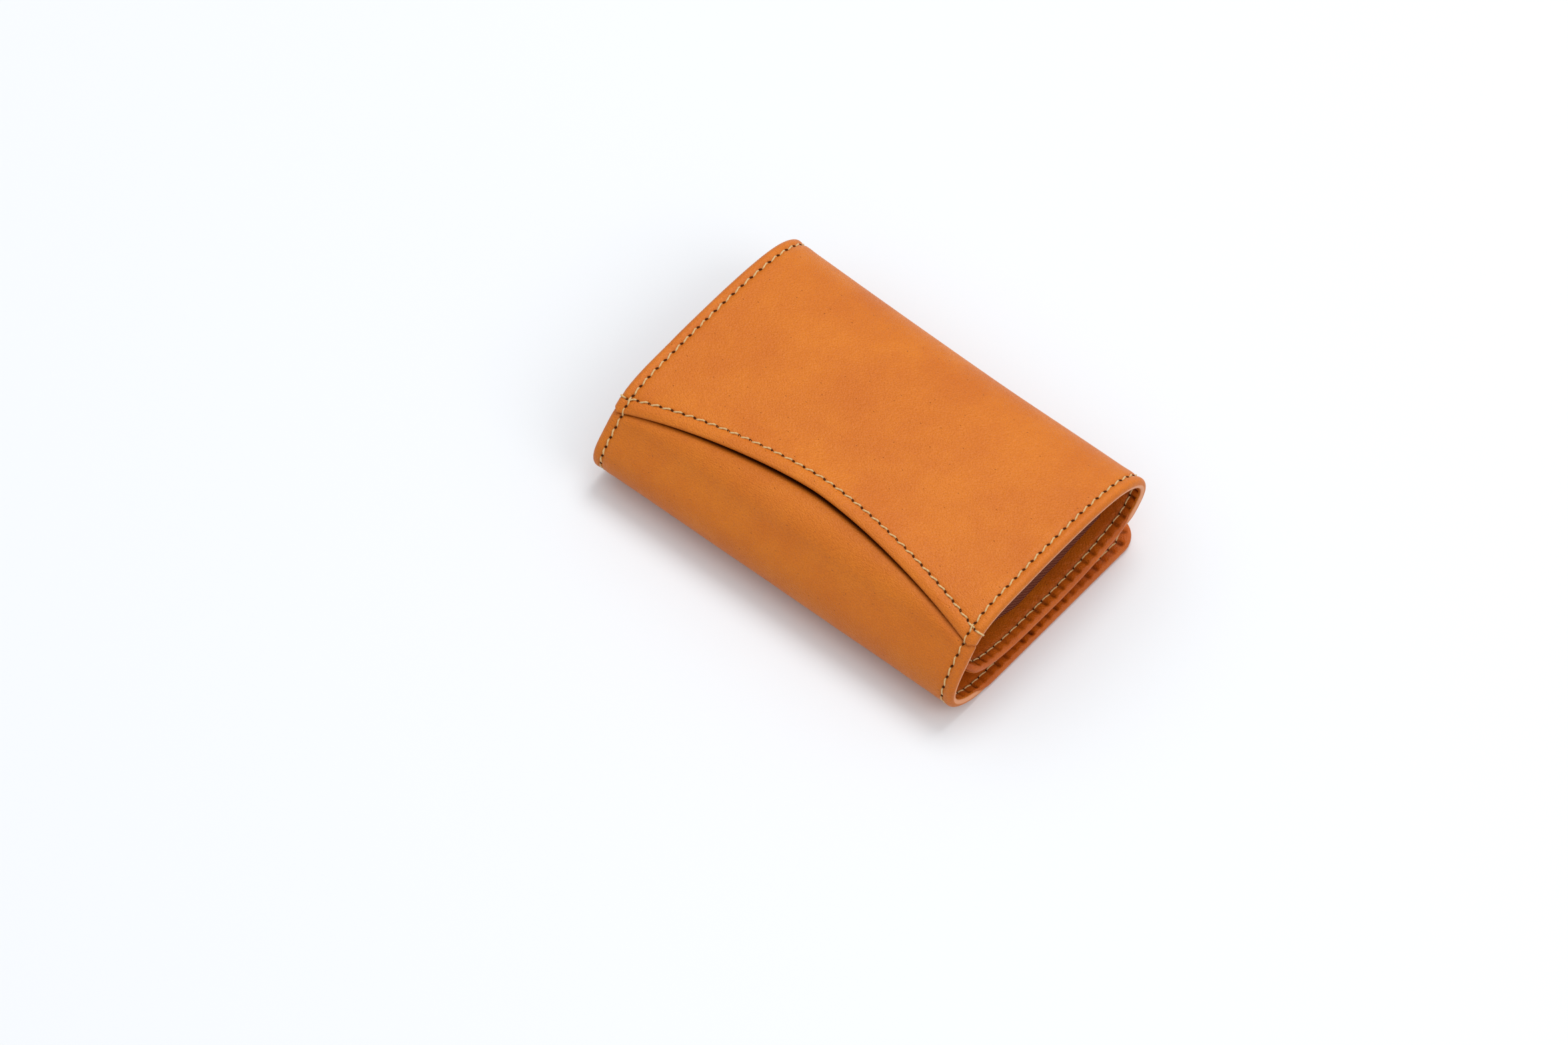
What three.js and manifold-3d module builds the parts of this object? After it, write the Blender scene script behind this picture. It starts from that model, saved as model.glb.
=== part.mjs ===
// A small leather wallet that rolls up in three leaves, lying closed on its bottom leaf.
// Millimetres. X runs along the folds, Y from the front spine to the far fold, Z up from the table.
import * as THREE from 'three';
import { mergeVertices } from 'three/addons/utils/BufferGeometryUtils.js';
import Module from 'manifold-3d';

const wasm = await Module();
wasm.setup();

// Driving dimensions.
const WIDTH = 97;
const SIDE = WIDTH / 2;
const GAP = 0.3;
const OUTER = 0.9; // outer leather of a leaf or spine
const LINING = 0.8; // lining leather of a leaf or spine
const LEAF = OUTER + GAP + LINING;
const PANEL = 0.8; // pocket panel over the top leaf
const BASE = 0.6; // leather under the pocket panel
const TOP_LINING = 0.6;
const TOP_LEAF = PANEL + GAP + BASE + GAP + TOP_LINING;
const LINING_INSET = 0.8; // the turned edge of the outer leather stands this far past a lining
const CORNER = 6; // corner radius of the free ends
const SEAM_MARGIN = 2.5; // seam line to leather edge
const SEAM_X = SIDE - SEAM_MARGIN;
const THREAD = 0.5; // width of a seam's thread
const THREAD_RISE = 0.3; // its height
const THREAD_STOP = 0.8; // a thread stops this far from a fold's pivot line
const LIP_MIDDLE = -17.6; // y of the pocket mouth's lip at the middle of the wallet
const LIP_FALL = 7.4; // how far the lip comes forward at the ends
const LIP_POWER = 1.6; // 1 would make the lip a V and 2 a parabola
const LIP_SEAM = 3.2; // lip to its seam, measured in plan
const TAB_CHAMFER = 1.3; // cut corner of the small tab at each end of the lip
const DIVIDER = 1.2;
const NYLON = 2; // folded nylon lining of the card pockets
const SLOT = 0.5; // leather of one card slot
const SLOT_STEP = 10; // each slot's mouth stands this far below the one before
const FIRST_SLOT_X = 34; // mouth of the first card slot
const DIVIDER_X = 44.5; // open edge of the bill compartment's divider
const POCKET = 0.6; // leather of a slip pocket
const POCKET_X = 30; // open edge of a slip pocket
const INNER_X = SEAM_X - 1; // closed end of what is sewn inside
const TURN_STEP = 9; // degrees of bend for each facet of a curved sheet

// The outer surface in the YZ plane, from the bottom leaf's free end to the inner leaf's free end.
// Each row is y, z and the direction of travel there, in degrees from +Y towards +Z.
const OUTER_LINE = [
  [31, 0, 180],
  [-17, 0, 180],
  [-28.8, 3.2, 145],
  [-32, 8.5, 90],
  [-26, 19.4, 55],
  [-20.5, 23.5, 20],
  [-6, 25.2, 4],
  [6, 25.5, 0],
  [20, 24.6, -9],
  [30.3, 20.2, -45],
  [32, 16.4, -90],
  [28.9, 11, -135],
  [20, 7.4, -165],
  [0, 5.3, -181],
  [-16, 6.2, -191],
  [-24, 9.6, -223],
  [-26.6, 13, -243],
];
// Rows of that line where one rigid stretch ends and the next begins: the four pivot lines.
const FREE_END = 0;
const BOTTOM_PIVOT = 2;
const TOP_PIVOT = 4;
const BASE_END = 8;
const FAR_UPPER_PIVOT = 9;
const FAR_LOWER_PIVOT = 11;
const TABLE_ROWS = [0, 1]; // the bottom leaf lies flat on the table here
const WALL_ROWS = [5, BASE_END]; // the bill compartment's closed end reaches the top leaf here
const INNER_POCKET = [12, 14];
const INNER_END = 16;
const INNER_END_ROWS = [15, INNER_END];
const INNER_END_SEAM = 1.2; // from the last bend to the seam along the inner leaf's free end

// The upper face of the divider, which hangs under the top leaf and closes the bill compartment.
const DIVIDER_LINE = [
  [-18.5, 20.2, -90],
  [-18.5, 18.4, -90],
  [-15.4, 15.3, 2],
  [2, 16.5, 5],
  [21, 18.5, 7],
  [26, 19.6, 20],
];
const DIVIDER_FLAT = [2, 4];
const DIVIDER_UNDER_WALL = [1, 4];
const WALL_HEIGHT = 10; // taller than the gap between the divider and the top leaf

const radians = THREE.MathUtils.degToRad;

function heading(degrees) {
  return new THREE.Vector2(Math.cos(radians(degrees)), Math.sin(radians(degrees)));
}

// One smooth stretch between two rows of a line.
function stretch([y0, z0, turn0], [y1, z1, turn1]) {
  const start = new THREE.Vector2(y0, z0);
  const end = new THREE.Vector2(y1, z1);
  const reach = start.distanceTo(end) / 3 / Math.cos(radians(turn1 - turn0) / 4) ** 2;
  const leaving = start.clone().addScaledVector(heading(turn0), reach);
  const arriving = end.clone().addScaledVector(heading(turn1), -reach);
  return new THREE.CubicBezierCurve(start, leaving, arriving, end);
}

// Points of a line from one row to another, each with its direction of travel. The ends are drawn
// in by two distances along the line, and each stretch has as many facets as its bend needs.
function sampled(line, [from, to], [early, late]) {
  const path = new THREE.CurvePath();
  const marks = [];
  for (let row = from; row < to; row += 1) {
    const start = path.curves.length ? path.getLength() : 0;
    const curve = stretch(line[row], line[row + 1]);
    const bend = Math.abs(line[row + 1][2] - line[row][2]);
    const steps = Math.max(1, Math.ceil(bend / TURN_STEP));
    path.add(curve);
    path.updateArcLengths();
    for (let step = 0; step < steps; step += 1) marks.push(start + (curve.getLength() * step) / steps);
  }
  const length = path.getLength();
  const inside = marks.filter((mark) => mark > early + GAP && mark < length - late - GAP);
  return [early, ...inside, length - late].map((mark) => ({
    at: path.getPoint(mark / length),
    along: path.getTangent(mark / length),
  }));
}

// The outline of a sheet that follows a line, between two depths under it, its ends drawn in.
function sheetOutline(line, rows, [shallow, deep], trims = [0, 0]) {
  const samples = sampled(line, rows, trims);
  const moved = ({ at, along }, depth) => new THREE.Vector2(at.x + along.y * depth, at.y - along.x * depth);
  const upper = samples.map((sample) => moved(sample, shallow));
  const lower = samples.map((sample) => moved(sample, deep)).reverse();
  return new THREE.Shape([...upper, ...lower]);
}

function toManifold(geometry) {
  const bare = geometry.index ? geometry.toNonIndexed() : geometry;
  bare.deleteAttribute('normal');
  bare.deleteAttribute('uv');
  const merged = mergeVertices(bare, 1e-4);
  return new wasm.Manifold(
    new wasm.Mesh({
      numProp: 3,
      vertProperties: merged.attributes.position.array,
      triVerts: new Uint32Array(merged.index.array),
    }),
  );
}

function toGeometry(manifold) {
  const { vertProperties, triVerts } = manifold.getMesh();
  const geometry = new THREE.BufferGeometry();
  geometry.setAttribute('position', new THREE.BufferAttribute(vertProperties, 3));
  geometry.setIndex(new THREE.BufferAttribute(triVerts, 1));
  geometry.computeVertexNormals();
  return geometry;
}

// A YZ outline drawn out along X.
function acrossWidth(outline, [low, high]) {
  const geometry = new THREE.ExtrudeGeometry(outline, { depth: high - low, bevelEnabled: false });
  const turned = new THREE.Matrix4().makeBasis(
    new THREE.Vector3(0, 1, 0),
    new THREE.Vector3(0, 0, 1),
    new THREE.Vector3(1, 0, 0),
  );
  geometry.applyMatrix4(turned.setPosition(low, 0, 0));
  return toManifold(geometry);
}

// A sheet of the outer line, the full width of the wallet unless another width is given.
function sheet(rows, depths, { trims, span = [-SIDE, SIDE], line = OUTER_LINE } = {}) {
  return acrossWidth(sheetOutline(line, rows, depths, trims), span);
}

// A block that trims a leaf's free end to round corners. The leaf runs back from row's point
// against the outward direction, and inset is how far the corners are drawn in.
function roundedEnd(row, outwards, inset) {
  const [y, z] = OUTER_LINE[row];
  const side = SIDE - inset;
  const centre = SIDE - CORNER;
  const radius = CORNER - inset;
  const back = -2 * WIDTH;
  const outline = new THREE.Shape();
  outline.moveTo(-side, back);
  outline.lineTo(side, back);
  outline.lineTo(side, -CORNER);
  outline.absarc(centre, -CORNER, radius, 0, Math.PI / 2);
  outline.absarc(-centre, -CORNER, radius, Math.PI / 2, Math.PI);
  const block = new THREE.ExtrudeGeometry(outline, {
    depth: 2 * WIDTH,
    bevelEnabled: false,
    curveSegments: 5,
  });
  const across = new THREE.Vector3(1, 0, 0);
  const away = new THREE.Vector3(0, outwards.x, outwards.y);
  const through = across.clone().cross(away);
  const placed = new THREE.Matrix4().makeBasis(across, away, through);
  const start = new THREE.Vector3(0, y, z).addScaledVector(through, -WIDTH);
  block.applyMatrix4(placed.setPosition(start));
  return toManifold(block);
}

function lip(x) {
  return LIP_MIDDLE - LIP_FALL * Math.abs(x / (SIDE - SEAM_MARGIN)) ** LIP_POWER;
}

// An upright block over a plan outline, taller than the wallet.
function upright(plan) {
  return toManifold(new THREE.ExtrudeGeometry(plan, { depth: WIDTH, bevelEnabled: false }));
}

// Plan points along the pocket mouth, moved back by some distance, from one side to the other.
function mouthLine(back, reach) {
  const points = [];
  const steps = 24;
  for (let step = 0; step <= steps; step += 1) {
    const x = reach * (2 * (step / steps) - 1);
    points.push(new THREE.Vector2(x, lip(x) + back));
  }
  return points;
}

function plainMaterial(color, roughness) {
  return new THREE.MeshStandardMaterial({ color, roughness, metalness: 0 });
}

const wallet = new THREE.Group();

function add(name, manifold, { color, roughness = 0.5 }) {
  const mesh = new THREE.Mesh(toGeometry(manifold), plainMaterial(color, roughness));
  mesh.name = name;
  wallet.add(mesh);
}

const TAN = { color: '#cf7a30' };
const TAN_SHADE = { color: '#b9652a' };
const BROWN = { color: '#8a4527', roughness: 0.6 };
const NYLON_BROWN = { color: '#5a2a22', roughness: 0.8 };
const THREAD_CREAM = { color: '#e0bd86', roughness: 0.7 };

const outerDepths = [0, OUTER];
const liningDepths = [OUTER + GAP, LEAF];
const pocketDepths = [LEAF + GAP, LEAF + GAP + POCKET];
const insideThread = [LEAF + GAP, LEAF + GAP + THREAD_RISE];
const outsideThread = [-GAP - THREAD_RISE, -GAP];
const liningSpan = [LINING_INSET - SIDE, SIDE - LINING_INSET];
const half = GAP / 2;

// The thread of one seam across the fold direction, centred on x.
function sideThread(rows, depths, x, trims) {
  return sheet(rows, depths, { trims, span: [x - THREAD / 2, x + THREAD / 2] });
}

// A seam that runs up one side of a leaf, along its free end and down the other side.
function loopThread(sideRows, endRows, sideTrims, endTrims) {
  const right = sideThread(sideRows, insideThread, SEAM_X, sideTrims);
  const left = sideThread(sideRows, insideThread, -SEAM_X, sideTrims);
  const end = sheet(endRows, insideThread, { trims: endTrims, span: [-SEAM_X, SEAM_X] });
  return right.add(left).add(end);
}

// Bottom leaf: the free end is at the back, and the front rises into the front spine.
function bottomLeaf() {
  const rows = [FREE_END, BOTTOM_PIVOT];
  const outwards = heading(OUTER_LINE[FREE_END][2] + 180);
  const ends = [0, half];
  const outer = sheet(rows, outerDepths, { trims: ends });
  add('bottom_leaf_outer', outer.intersect(roundedEnd(FREE_END, outwards, 0)), TAN_SHADE);
  const lining = sheet(rows, liningDepths, { trims: ends, span: liningSpan });
  add('bottom_leaf_lining', lining.intersect(roundedEnd(FREE_END, outwards, LINING_INSET)), BROWN);
  const pocketTrims = [2 * SEAM_MARGIN, 0];
  const pocket = sheet(TABLE_ROWS, pocketDepths, { trims: pocketTrims, span: [-INNER_X, POCKET_X] });
  add('bottom_leaf_pocket', pocket, TAN_SHADE);
  const length = OUTER_LINE[TABLE_ROWS[0]][0] - OUTER_LINE[TABLE_ROWS[1]][0];
  const endTrims = [SEAM_MARGIN, length - SEAM_MARGIN - THREAD];
  const seam = loopThread(rows, TABLE_ROWS, [SEAM_MARGIN, THREAD_STOP], endTrims);
  add('bottom_leaf_seam', seam, THREAD_CREAM);
}

// A curved stretch between two pivot lines, with its lining and a seam at each end.
function spine(name, rows) {
  const ends = [half, half];
  add(`${name}_spine_outer`, sheet(rows, outerDepths, { trims: ends }), TAN);
  add(`${name}_spine_lining`, sheet(rows, liningDepths, { trims: ends, span: liningSpan }), BROWN);
  const stops = [THREAD_STOP, THREAD_STOP];
  add(`${name}_seam_left`, sideThread(rows, outsideThread, -SEAM_X, stops), THREAD_CREAM);
  add(`${name}_seam_right`, sideThread(rows, outsideThread, SEAM_X, stops), THREAD_CREAM);
}

// The pocket panel in plan: everything behind the lip, with a cut corner at each tab.
function panelPlan() {
  const mouth = mouthLine(0, SIDE - TAB_CHAMFER);
  const tab = lip(SIDE) + TAB_CHAMFER;
  const back = [new THREE.Vector2(SIDE, tab), new THREE.Vector2(SIDE, SIDE), new THREE.Vector2(-SIDE, SIDE)];
  return new THREE.Shape([...mouth, ...back, new THREE.Vector2(-SIDE, tab)]);
}

// The mouth seam in plan: a narrow strip behind the lip, between the two side seams.
function mouthSeamPlan() {
  const reach = SEAM_X - THREAD - GAP;
  const near = mouthLine(LIP_SEAM, reach);
  const far = mouthLine(LIP_SEAM + THREAD, reach).reverse();
  return new THREE.Shape([...near, ...far]);
}

// Top leaf shell: a pocket panel with a curved mouth, the leather under it and the lining.
function topLeafShell() {
  const rows = [TOP_PIVOT, FAR_UPPER_PIVOT];
  const ends = [half, half];
  const panel = sheet(rows, [0, PANEL], { trims: ends });
  add('top_pocket_panel', panel.intersect(upright(panelPlan())), TAN);
  const baseDepths = [PANEL + GAP, PANEL + GAP + BASE];
  add('top_leaf_base', sheet([TOP_PIVOT, BASE_END], baseDepths, { trims: [half, 0] }), TAN_SHADE);
  const depths = [TOP_LEAF - TOP_LINING, TOP_LEAF];
  add('top_leaf_lining', sheet(rows, depths, { trims: ends, span: liningSpan }), BROWN);
  const stops = [THREAD_STOP, THREAD_STOP];
  add('top_seam_left', sideThread(rows, outsideThread, -SEAM_X, stops), THREAD_CREAM);
  add('top_seam_right', sideThread(rows, outsideThread, SEAM_X, stops), THREAD_CREAM);
  const over = sheet([TOP_PIVOT, FAR_UPPER_PIVOT], outsideThread);
  add('pocket_mouth_seam', over.intersect(upright(mouthSeamPlan())), THREAD_CREAM);
}

// Under the top leaf: the bill compartment's divider, then the card pockets' nylon and slots.
function topLeafPockets() {
  const line = DIVIDER_LINE;
  const all = [0, DIVIDER_LINE.length - 1];
  const panel = sheet(all, [0, DIVIDER], { line, span: [-INNER_X, DIVIDER_X] });
  const lift = TOP_LEAF + GAP;
  const wallSpan = [-INNER_X, DIVIDER - INNER_X];
  const under = sheet(WALL_ROWS, [lift, lift + 2 * WALL_HEIGHT], { span: wallSpan });
  const above = sheetOutline(line, DIVIDER_UNDER_WALL, [-WALL_HEIGHT, DIVIDER / 2]);
  const wall = under.intersect(acrossWidth(above, wallSpan));
  add('bill_divider', panel.add(wall), TAN_SHADE);
  const nylonDepths = [DIVIDER + GAP, DIVIDER + GAP + NYLON];
  const nylon = sheet(DIVIDER_FLAT, nylonDepths, { line, span: [-INNER_X, DIVIDER_X] });
  add('card_pocket_lining', nylon, NYLON_BROWN);
  ['upper', 'middle', 'lower'].forEach((place, index) => {
    const near = nylonDepths[1] + GAP + index * (SLOT + GAP);
    const span = [-INNER_X, FIRST_SLOT_X - index * SLOT_STEP];
    const trims = [SEAM_MARGIN, 0];
    const slot = sheet(DIVIDER_FLAT, [near, near + SLOT], { line, span, trims });
    add(`card_slot_${place}`, slot, TAN_SHADE);
  });
}

// Inner leaf: it lies under the top leaf and its free end curls up inside the front spine.
function innerLeaf() {
  const rows = [FAR_LOWER_PIVOT, INNER_END];
  const outwards = heading(OUTER_LINE[INNER_END][2]);
  const ends = [half, 0];
  const outer = sheet(rows, outerDepths, { trims: ends });
  add('inner_leaf_outer', outer.intersect(roundedEnd(INNER_END, outwards, 0)), TAN);
  const lining = sheet(rows, liningDepths, { trims: ends, span: liningSpan });
  add('inner_leaf_lining', lining.intersect(roundedEnd(INNER_END, outwards, LINING_INSET)), BROWN);
  const pocketTrims = [0, 2 * SEAM_MARGIN];
  const pocket = sheet(INNER_POCKET, pocketDepths, { trims: pocketTrims, span: [-INNER_X, POCKET_X] });
  add('inner_leaf_pocket', pocket, TAN_SHADE);
  const sideTrims = [THREAD_STOP, SEAM_MARGIN];
  const seam = loopThread(rows, INNER_END_ROWS, sideTrims, [INNER_END_SEAM, SEAM_MARGIN]);
  add('inner_leaf_seam', seam, THREAD_CREAM);
}

bottomLeaf();
spine('front', [BOTTOM_PIVOT, TOP_PIVOT]);
topLeafShell();
topLeafPockets();
spine('far', [FAR_UPPER_PIVOT, FAR_LOWER_PIVOT]);
innerLeaf();

export default wallet;
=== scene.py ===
import math

import bpy
import numpy as np
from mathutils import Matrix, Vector

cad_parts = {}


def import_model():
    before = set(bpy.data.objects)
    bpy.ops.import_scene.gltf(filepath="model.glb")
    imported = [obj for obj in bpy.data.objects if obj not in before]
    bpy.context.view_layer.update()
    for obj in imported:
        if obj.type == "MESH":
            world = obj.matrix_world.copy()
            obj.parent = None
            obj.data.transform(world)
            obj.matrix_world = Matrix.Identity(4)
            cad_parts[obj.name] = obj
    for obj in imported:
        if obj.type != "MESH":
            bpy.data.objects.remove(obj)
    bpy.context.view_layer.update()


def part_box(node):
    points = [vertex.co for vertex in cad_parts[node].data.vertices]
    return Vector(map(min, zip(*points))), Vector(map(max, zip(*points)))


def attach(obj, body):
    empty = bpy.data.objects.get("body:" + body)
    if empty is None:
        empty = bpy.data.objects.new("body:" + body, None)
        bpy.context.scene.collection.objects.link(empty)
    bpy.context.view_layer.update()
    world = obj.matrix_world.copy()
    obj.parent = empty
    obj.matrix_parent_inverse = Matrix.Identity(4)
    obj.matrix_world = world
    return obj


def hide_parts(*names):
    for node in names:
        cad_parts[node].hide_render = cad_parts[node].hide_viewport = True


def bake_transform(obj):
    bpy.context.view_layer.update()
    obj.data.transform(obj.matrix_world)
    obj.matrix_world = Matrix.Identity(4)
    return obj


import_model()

MM = 0.001

# ------------------------------------------------------------------ the section of the leather
# The outer surface in the YZ plane, in millimetres, as in the CAD: y, z and direction of travel.
OUTER_LINE = [
    [31, 0, 180], [-17, 0, 180], [-28.8, 3.2, 145], [-32, 8.5, 90], [-26, 19.4, 55],
    [-20.5, 23.5, 20], [-6, 25.2, 4], [6, 25.5, 0], [20, 24.6, -9], [30.3, 20.2, -45],
    [32, 16.4, -90], [28.9, 11, -135], [20, 7.4, -165], [0, 5.3, -181], [-16, 6.2, -191],
    [-24, 9.6, -223], [-26.6, 13, -243],
]
DIVIDER_LINE = [
    [-18.5, 20.2, -90], [-18.5, 18.4, -90], [-15.4, 15.3, 2], [2, 16.5, 5], [21, 18.5, 7],
    [26, 19.6, 20],
]
# Rows of the outer line where something happens, counted from 0 at the bottom leaf's free end.
OFF_TABLE, BOTTOM_PIVOT, TOP_PIVOT, TOP_MIDDLE = 1, 2, 4, 7
FAR_UPPER_PIVOT, FAR_LOWER_PIVOT, INNER_START, CURL_START, CURL_TIGHT = 9, 11, 12, 14, 15
LIP_ROWS = (TOP_PIVOT, 8)  # the pocket mouth's lip lies between these
DIVIDER_FLAT = (2, 4)  # rows of the divider's line between which it lies flat

panel_low, panel_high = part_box("top_pocket_panel")
SIDE = (panel_high.x - panel_low.x) / 2 / MM
LEAF = 2.0  # outer leather, lining and the gap between them
TOP_EXTRA = 0.6  # the top leaf has one more leather inside
SHELL = 0.9
LINING_THICKNESS = 0.8
FOLD_BURNISH_AND_SHADE = 0.12  # leather darkens where it bends over the front fold: partly burnish, partly painted shade for the lower front, which faces away from the light
RIM_LEATHER = 0.2  # what is left of the outer leather where the lining is turned over a rim
CORNER = 6.0
SEAM_MARGIN = 2.5
STITCH_LENGTH = 2.66  # before it is fitted to a whole number of stitches
LIP_MIDDLE, LIP_FALL, LIP_POWER = -17.6, 7.4, 1.6
LIP_SEAM = 3.3
TAB_CHAMFER = 1.3
TUCK_IN = 1.3  # how far in from the rim the front leather slips under the pocket panel
MOUTH_HALF = 45  # from the middle of the pocket mouth to where it no longer gapes

# The wallet lies a little lower and deeper at its left end than at its right.
SAG_START, SAG_POWER = 15.0, 1.4
SAG_DOWN, SAG_BACK = 2.1, 2.8


def smooth(low, high, value):
    t = np.clip((value - low) / (high - low), 0, 1)
    return t * t * (3 - 2 * t)


def bump(value, width):
    return np.exp(-(value / width) ** 2)


def settled(x, y, z):
    """The same point once the left end has sagged, in metres."""
    share = np.clip((SAG_START - x) / (SAG_START + SIDE), 0, 1) ** SAG_POWER
    back = SAG_BACK * share * smooth(0, 32, y) * smooth(3, 10, z)
    down = SAG_DOWN * share * smooth(6, 20, z)
    return np.stack([x, y + back, z - down], -1) * MM


class Line:
    """A smooth line in the YZ plane that can be read at any distance along it."""

    def __init__(self, rows):
        points = []
        self.rows = [0.0]
        for (y0, z0, h0), (y1, z1, h1) in zip(rows, rows[1:]):
            start, end = np.array([y0, z0], float), np.array([y1, z1], float)
            h0, h1 = math.radians(h0), math.radians(h1)
            reach = np.linalg.norm(end - start) / 3 / math.cos((h1 - h0) / 4) ** 2
            a = start + reach * np.array([math.cos(h0), math.sin(h0)])
            b = end - reach * np.array([math.cos(h1), math.sin(h1)])
            t = np.linspace(0, 1, 160)[:, None]
            r = 1 - t
            curve = r ** 3 * start + 3 * r * r * t * a + 3 * r * t * t * b + t ** 3 * end
            points.append(curve[1 if points else 0:])
            self.rows.append(self.rows[-1] + np.linalg.norm(np.diff(curve, axis=0), axis=1).sum())
        self.points = np.vstack(points)
        steps = np.linalg.norm(np.diff(self.points, axis=0), axis=1)
        self.s = np.concatenate([[0], np.cumsum(steps)])
        self.turn = np.unwrap(np.arctan2(*np.gradient(self.points, self.s, axis=0).T[::-1]))
        self.length = self.s[-1]

    def place(self, x, s, depth):
        """Points in metres, depth below the line's surface, with s along it and x across."""
        y = np.interp(s, self.s, self.points[:, 0])
        z = np.interp(s, self.s, self.points[:, 1])
        turn = np.interp(s, self.s, self.turn)
        return settled(x, y + depth * np.sin(turn), z - depth * np.cos(turn))

    def s_of_y(self, y, low, high):
        """The distance along the line where it passes y, between two rows where y only rises."""
        inside = (self.s >= self.rows[low]) & (self.s <= self.rows[high])
        return np.interp(y, self.points[inside, 0], self.s[inside])


outer = Line(OUTER_LINE)
divider = Line(DIVIDER_LINE)
S_F1, S_F2 = outer.rows[BOTTOM_PIVOT], outer.rows[TOP_PIVOT]
S_R1, S_R2 = outer.rows[FAR_UPPER_PIVOT], outer.rows[FAR_LOWER_PIVOT]
S_FRONT = (S_F1 + S_F2) / 2  # where the pieces either side of the front spine's middle meet
S_TOP = outer.rows[TOP_MIDDLE]
S_FAR = (S_R1 + S_R2) / 2
TABLE_END = outer.rows[OFF_TABLE]  # the bottom leaf leaves the table here

# ------------------------------------------------------------------ soft random shapes
rng = np.random.default_rng(7)
WAVES = [(rng.uniform(-1, 1, 2), rng.uniform(0, 6.28)) for _ in range(24)]


def wander(x, s, size, seed=0):
    """Smooth random height from -1 to 1 whose lumps are about size millimetres across."""
    total = np.zeros_like(np.asarray(x + s, float))
    for k in range(8):
        direction, phase = WAVES[(k * 3 + seed * 5) % len(WAVES)]
        scale = 2 * math.pi / size * (0.6 + 0.1 * k)
        total += np.sin((direction[0] * x + direction[1] * s) * scale + phase + seed)
    return total / 5


# ------------------------------------------------------------------ the seams
SEAM_TURN = (CORNER - SEAM_MARGIN) * math.pi / 2  # length of a seam round one corner
SEAM_REACH = SIDE - 2 * CORNER + SEAM_TURN
SEAM_TOTAL = outer.length + 2 * SEAM_REACH  # from the middle of one free end to the other's
STITCHES = round(SEAM_TOTAL / STITCH_LENGTH)
PITCH = SEAM_TOTAL / STITCHES  # needle hole to needle hole


def seam_mark(x, s):
    """Distance along the seam from the middle of the bottom leaf's free end."""
    across = np.abs(x)
    mark = s + SEAM_REACH
    for in_from_end, flip in ((s, False), (outer.length - s, True)):
        angle = np.arctan2(CORNER - in_from_end, across - (SIDE - CORNER))
        turning = SIDE - CORNER + (CORNER - SEAM_MARGIN) * (math.pi / 2 - angle)
        own = np.where(across < SIDE - CORNER, across, turning)
        near_end = (in_from_end < CORNER) & (across > SIDE - CORNER)
        near_end |= (across <= SIDE - CORNER) & (in_from_end < SIDE - across)
        mark = np.where(near_end, SEAM_TOTAL - own if flip else own, mark)
    return mark


def seam_point(mark, sign):
    """x and s of the seam at a distance from the middle of the bottom leaf's free end."""
    flip = mark > SEAM_TOTAL / 2
    own = SEAM_TOTAL - mark if flip else mark
    if own < SIDE - CORNER:
        x, s = own, SEAM_MARGIN
    elif own < SIDE - CORNER + SEAM_TURN:
        angle = math.pi / 2 - (own - SIDE + CORNER) / (CORNER - SEAM_MARGIN)
        x = SIDE - CORNER + (CORNER - SEAM_MARGIN) * math.cos(angle)
        s = CORNER - (CORNER - SEAM_MARGIN) * math.sin(angle)
    else:
        x, s = SIDE - SEAM_MARGIN, own - SEAM_REACH
    return sign * x, outer.length - s if flip else s


def lip_s(x):
    """Distance along the outer line of the pocket mouth's lip."""
    y = LIP_MIDDLE - LIP_FALL * (np.abs(x) / (SIDE - SEAM_MARGIN)) ** LIP_POWER
    return outer.s_of_y(y, *LIP_ROWS)


def lip_slope(x):
    """Cosine of the angle between the lip and the X direction, in the unrolled leather."""
    return 1 / np.hypot(1, (lip_s(x + 0.2) - lip_s(x - 0.2)) / 0.4)


MOUTH_X = np.linspace(-SIDE, SIDE, 400)
mouth_steps = np.hypot(np.diff(MOUTH_X), np.diff(lip_s(MOUTH_X)))
MOUTH_LENGTH = np.concatenate([[0], np.cumsum(mouth_steps)])
MOUTH_LENGTH -= MOUTH_LENGTH[-1] / 2


def mouth_mark(x):
    """Distance along the lip from its middle."""
    return np.interp(x, MOUTH_X, MOUTH_LENGTH)


def needle(mark, sharp):
    """1 at each needle hole, falling away between them."""
    return (0.5 + 0.5 * np.cos(2 * math.pi * mark / PITCH)) ** sharp


# ------------------------------------------------------------------ meshes
def new_mesh(name, verts, faces, flat, shade, materials, material_of=None):
    mesh = bpy.data.meshes.new(name)
    mesh.vertices.add(len(verts))
    mesh.vertices.foreach_set("co", np.ascontiguousarray(verts, np.float32).ravel())
    sizes = np.array([len(f) for f in faces], np.int32)
    mesh.loops.add(int(sizes.sum()))
    corners = np.concatenate([np.asarray(f, np.int32) for f in faces])
    mesh.loops.foreach_set("vertex_index", corners)
    mesh.polygons.add(len(faces))
    starts = np.concatenate([[0], np.cumsum(sizes)[:-1]]).astype(np.int32)
    mesh.polygons.foreach_set("loop_start", starts)
    if material_of is not None:
        mesh.polygons.foreach_set("material_index", np.asarray(material_of, np.int32))
    mesh.update(calc_edges=True)
    mesh.validate()
    mesh.shade_smooth()
    attribute = mesh.attributes.new("flat", "FLOAT_VECTOR", "POINT")
    attribute.data.foreach_set("vector", np.ascontiguousarray(flat, np.float32).ravel())
    attribute = mesh.attributes.new("shade", "FLOAT", "POINT")
    attribute.data.foreach_set("value", np.ascontiguousarray(shade, np.float32))
    for material in materials:
        mesh.materials.append(material)
    piece = bpy.data.objects.new(name, mesh)
    bpy.context.scene.collection.objects.link(piece)
    return piece


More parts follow.
